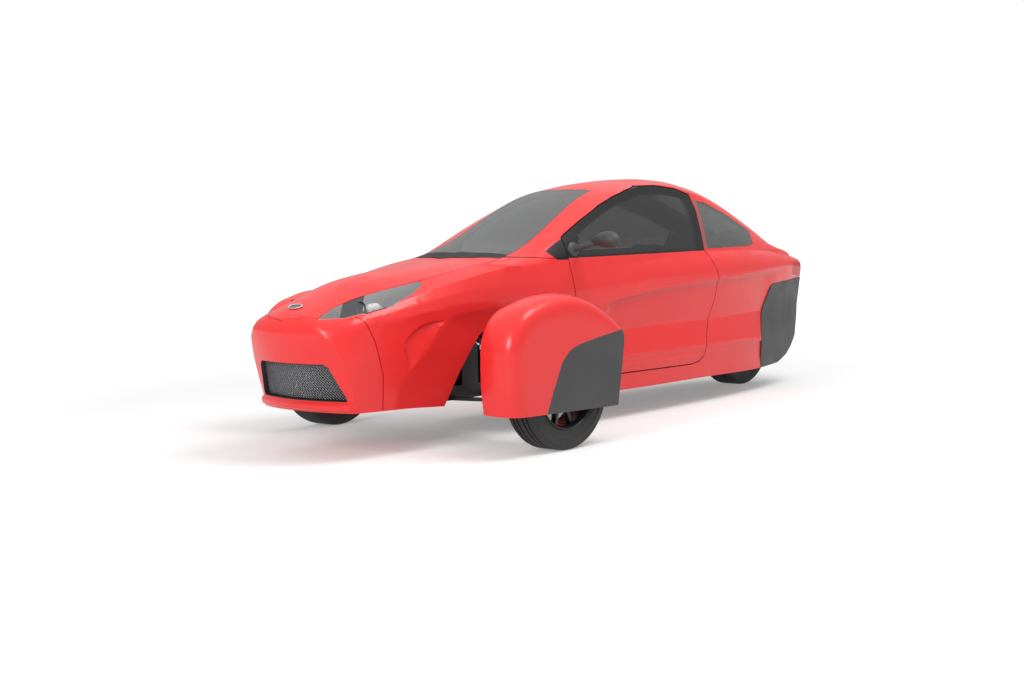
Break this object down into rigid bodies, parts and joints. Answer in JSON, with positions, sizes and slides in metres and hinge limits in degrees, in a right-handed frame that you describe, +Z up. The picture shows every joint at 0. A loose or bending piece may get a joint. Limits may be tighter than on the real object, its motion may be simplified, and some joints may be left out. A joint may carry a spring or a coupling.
{
  "type": "three-wheeled car",
  "caption": "Enclosed three-wheeled commuter car with steered front wheels in outboard pods, one driven rear wheel, two seats in line, one side door, hood and rear hatch",
  "frame": {"origin": "middle of the bounding box at ground level, under the cabin", "axes": "+X forward, +Y to the car's left, +Z up"},
  "size_m": [4.2099, 1.864, 1.3354],
  "materials": {
    "paint": "soft gloss",
    "dark_trim": "satin",
    "window": "polished",
    "lamp_lens": "polished",
    "tail_lens": "polished",
    "grille_mesh": "satin",
    "underbody": "matt",
    "cabin_trim": "matt",
    "seat_cloth": "woven",
    "engine_iron": "as cast",
    "chassis_steel": "satin black",
    "tyre": "matt",
    "rim_alloy": "satin"
  },
  "bodies": {
    "chassis": {"nose_bumper": "paint", "grille": "grille_mesh", "front_body": "paint", "cabin_shell": "paint", "tail_panel": "dark_trim", "windshield": "window", "quarter_glass_left": "window", "side_glass_right": "window", "headlamp_left": "lamp_lens", "headlamp_right": "lamp_lens", "tail_lamp_left": "tail_lens", "tail_lamp_right": "tail_lens", "floor_tub": "underbody", "dashboard": "cabin_trim", "front_seat": "seat_cloth", "rear_seat": "seat_cloth", "engine": "engine_iron", "front_subframe": "chassis_steel", "lower_arm_left": "chassis_steel", "lower_arm_right": "chassis_steel", "upper_arm_left": "chassis_steel", "upper_arm_right": "chassis_steel", "damper_left": "chassis_steel", "damper_right": "chassis_steel", "swing_arm": "chassis_steel", "rear_damper": "chassis_steel"},
    "hood": {"hood": "paint"},
    "door": {"door": "paint", "door_glass": "window", "mirror_left": "dark_trim"},
    "hatch": {"hatch": "paint", "hatch_glass": "window"},
    "steered_left": {"knuckle_left": "chassis_steel", "pod_left": "paint", "pod_panel_left": "dark_trim"},
    "steered_right": {"knuckle_right": "chassis_steel", "pod_right": "paint", "pod_panel_right": "dark_trim"},
    "wheel_front_left": {"rim_front_left": "rim_alloy", "tyre_front_left": "tyre"},
    "wheel_front_right": {"rim_front_right": "rim_alloy", "tyre_front_right": "tyre"},
    "wheel_rear": {"rim_rear": "rim_alloy", "tyre_rear": "tyre"},
    "steering_wheel": {"steering_wheel": "cabin_trim"}
  },
  "joints": [
    {"name": "steer_left", "type": "hinge", "parent": "chassis", "child": "steered_left", "pos_m": [1.075, 0.684, 0.3], "axis": [0, 0, 1], "range_deg": [-30, 30]},
    {"name": "steer_right", "type": "hinge", "parent": "chassis", "child": "steered_right", "pos_m": [1.075, -0.684, 0.3], "axis": [0, 0, 1], "range_deg": [-30, 30]},
    {"name": "steering_wheel_turn", "type": "hinge", "parent": "chassis", "child": "steering_wheel", "pos_m": [0.43, 0, 0.79], "axis": [-0.9138, 0, 0.4061], "range_deg": [-360, 360]},
    {"name": "wheel_front_left_spin", "type": "hinge", "parent": "steered_left", "child": "wheel_front_left", "pos_m": [1.075, 0.825, 0.305], "axis": [0, 1, 0], "continuous": true},
    {"name": "wheel_front_right_spin", "type": "hinge", "parent": "steered_right", "child": "wheel_front_right", "pos_m": [1.075, -0.825, 0.305], "axis": [0, 1, 0], "continuous": true},
    {"name": "wheel_rear_spin", "type": "hinge", "parent": "chassis", "child": "wheel_rear", "pos_m": [-1.719, 0, 0.305], "axis": [0, 1, 0], "continuous": true},
    {"name": "door_hinge", "type": "hinge", "parent": "chassis", "child": "door", "pos_m": [0.502, 0.486, 0.6], "axis": [0, 0, -1], "range_deg": [0, 65]},
    {"name": "hood_hinge", "type": "hinge", "parent": "chassis", "child": "hood", "pos_m": [0.903, 0, 0.928], "axis": [0, -1, 0], "range_deg": [0, 50]},
    {"name": "hatch_hinge", "type": "hinge", "parent": "chassis", "child": "hatch", "pos_m": [-0.918, 0, 1.312], "axis": [0, 1, 0], "range_deg": [0, 70]}
  ],
  "couplings": [
    {"joint": "steer_right", "follows": "steer_left", "ratio": 1},
    {"joint": "steering_wheel_turn", "follows": "steer_left", "ratio": 12}
  ]
}
